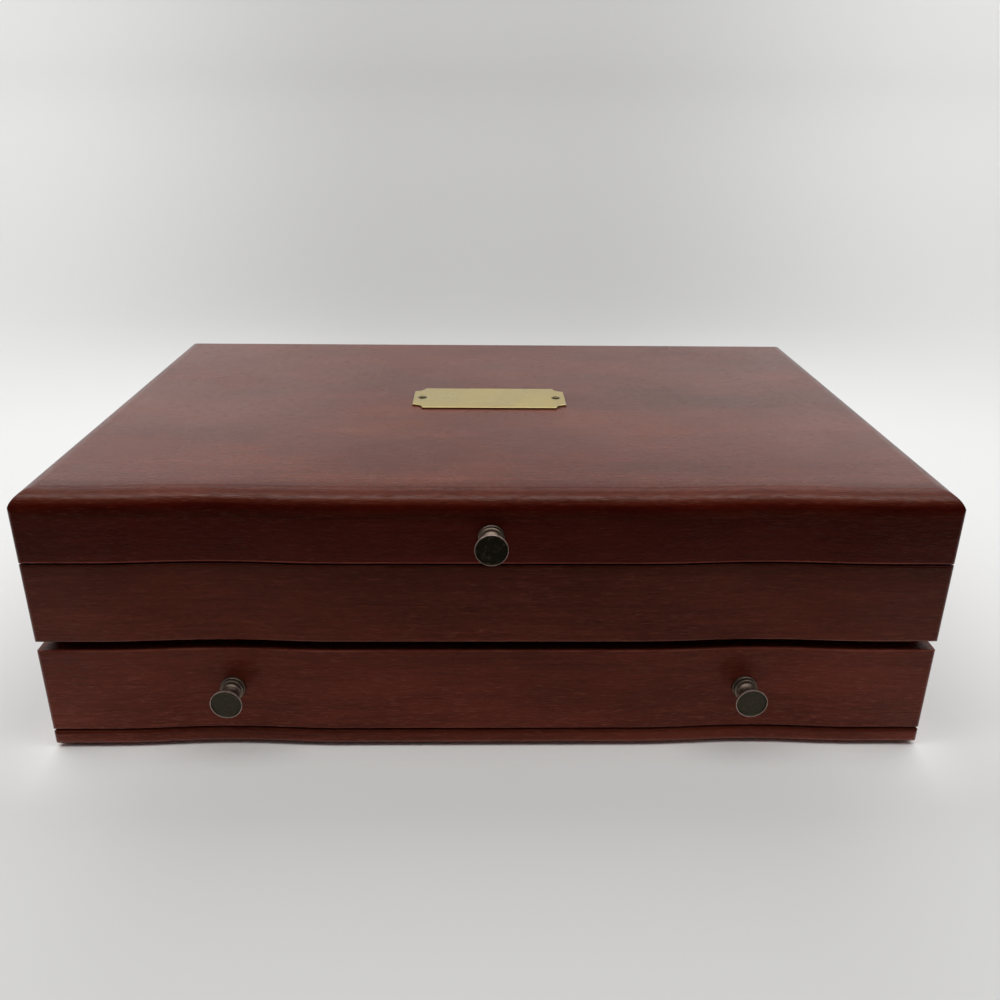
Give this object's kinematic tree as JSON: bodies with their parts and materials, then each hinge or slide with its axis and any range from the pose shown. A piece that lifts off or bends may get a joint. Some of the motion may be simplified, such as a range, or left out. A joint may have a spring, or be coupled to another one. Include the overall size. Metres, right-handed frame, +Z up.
{
  "type": "silverware chest",
  "caption": "Low flatware storage chest with a hinged lid, serpentine front, drawer below, turned knobs, bare name plate and flannel-lined racks inside.",
  "frame": {"origin": "middle of the underside, on the surface that the chest stands on", "axes": "+X along the front to the right, +Y from front to back, +Z up"},
  "size_m": [0.438, 0.3068, 0.1405],
  "materials": {
    "mahogany_finish": "satin lacquer over a red mahogany stain",
    "inner_wood": "thin stain, unpolished",
    "flannel": "brushed anti-tarnish flannel",
    "base_felt": "dark pressed felt",
    "dark_bronze": "antiqued bronze, worn light at the rims",
    "plate_brass": "satin lacquered",
    "hinge_brass": "plain rolled brass",
    "screw_steel": "zinc plated"
  },
  "bodies": {
    "case": {"base_board": "mahogany_finish", "base_felt": "base_felt", "base_screws": "screw_steel", "case_front_rail": "mahogany_finish", "case_back": "mahogany_finish", "case_side_left": "mahogany_finish", "case_side_right": "mahogany_finish", "drawer_runner_left": "inner_wood", "drawer_runner_right": "inner_wood", "drawer_stop_block": "inner_wood", "compartment_floor": "inner_wood", "compartment_floor_lining": "flannel", "compartment_wall_lining": "flannel", "compartment_divider_1": "flannel", "compartment_divider_2": "flannel", "compartment_divider_3": "flannel", "flatware_rack_1": "flannel", "flatware_rack_2": "flannel", "flatware_rack_3": "flannel", "flatware_rack_4": "flannel", "left_hinge_case_leaf": "hinge_brass", "right_hinge_case_leaf": "hinge_brass", "left_hinge_pin": "hinge_brass", "right_hinge_pin": "hinge_brass", "hinge_case_screws": "hinge_brass"},
    "lid": {"lid_top_board": "mahogany_finish", "lid_front_rail": "mahogany_finish", "lid_back_rail": "mahogany_finish", "lid_side_left": "mahogany_finish", "lid_side_right": "mahogany_finish", "lid_ceiling_lining": "flannel", "lid_wall_lining": "flannel", "lid_pad": "flannel", "knife_blade_bar": "flannel", "knife_handle_bar": "flannel", "lid_knob": "dark_bronze", "lid_knob_screw": "screw_steel", "name_plate": "plate_brass", "plate_screws": "plate_brass", "left_hinge_lid_leaf": "hinge_brass", "right_hinge_lid_leaf": "hinge_brass", "hinge_lid_screws": "hinge_brass"},
    "drawer": {"drawer_front": "mahogany_finish", "drawer_side_left": "inner_wood", "drawer_side_right": "inner_wood", "drawer_back": "inner_wood", "drawer_bottom": "inner_wood", "drawer_floor_lining": "flannel", "drawer_wall_lining": "flannel", "drawer_divider_1": "flannel", "drawer_divider_2": "flannel", "drawer_knob_left": "dark_bronze", "drawer_knob_right": "dark_bronze", "drawer_knob_screws": "screw_steel"}
  },
  "joints": [
    {"name": "lid_hinge", "type": "hinge", "parent": "case", "child": "lid", "pos_m": [0, 0.142, 0.1033], "axis": [-1, 0, 0], "range_deg": [0, 95]},
    {"name": "drawer_slide", "type": "slide", "parent": "case", "child": "drawer", "axis": [0, -1, 0], "range_m": [0, 0.2]}
  ]
}
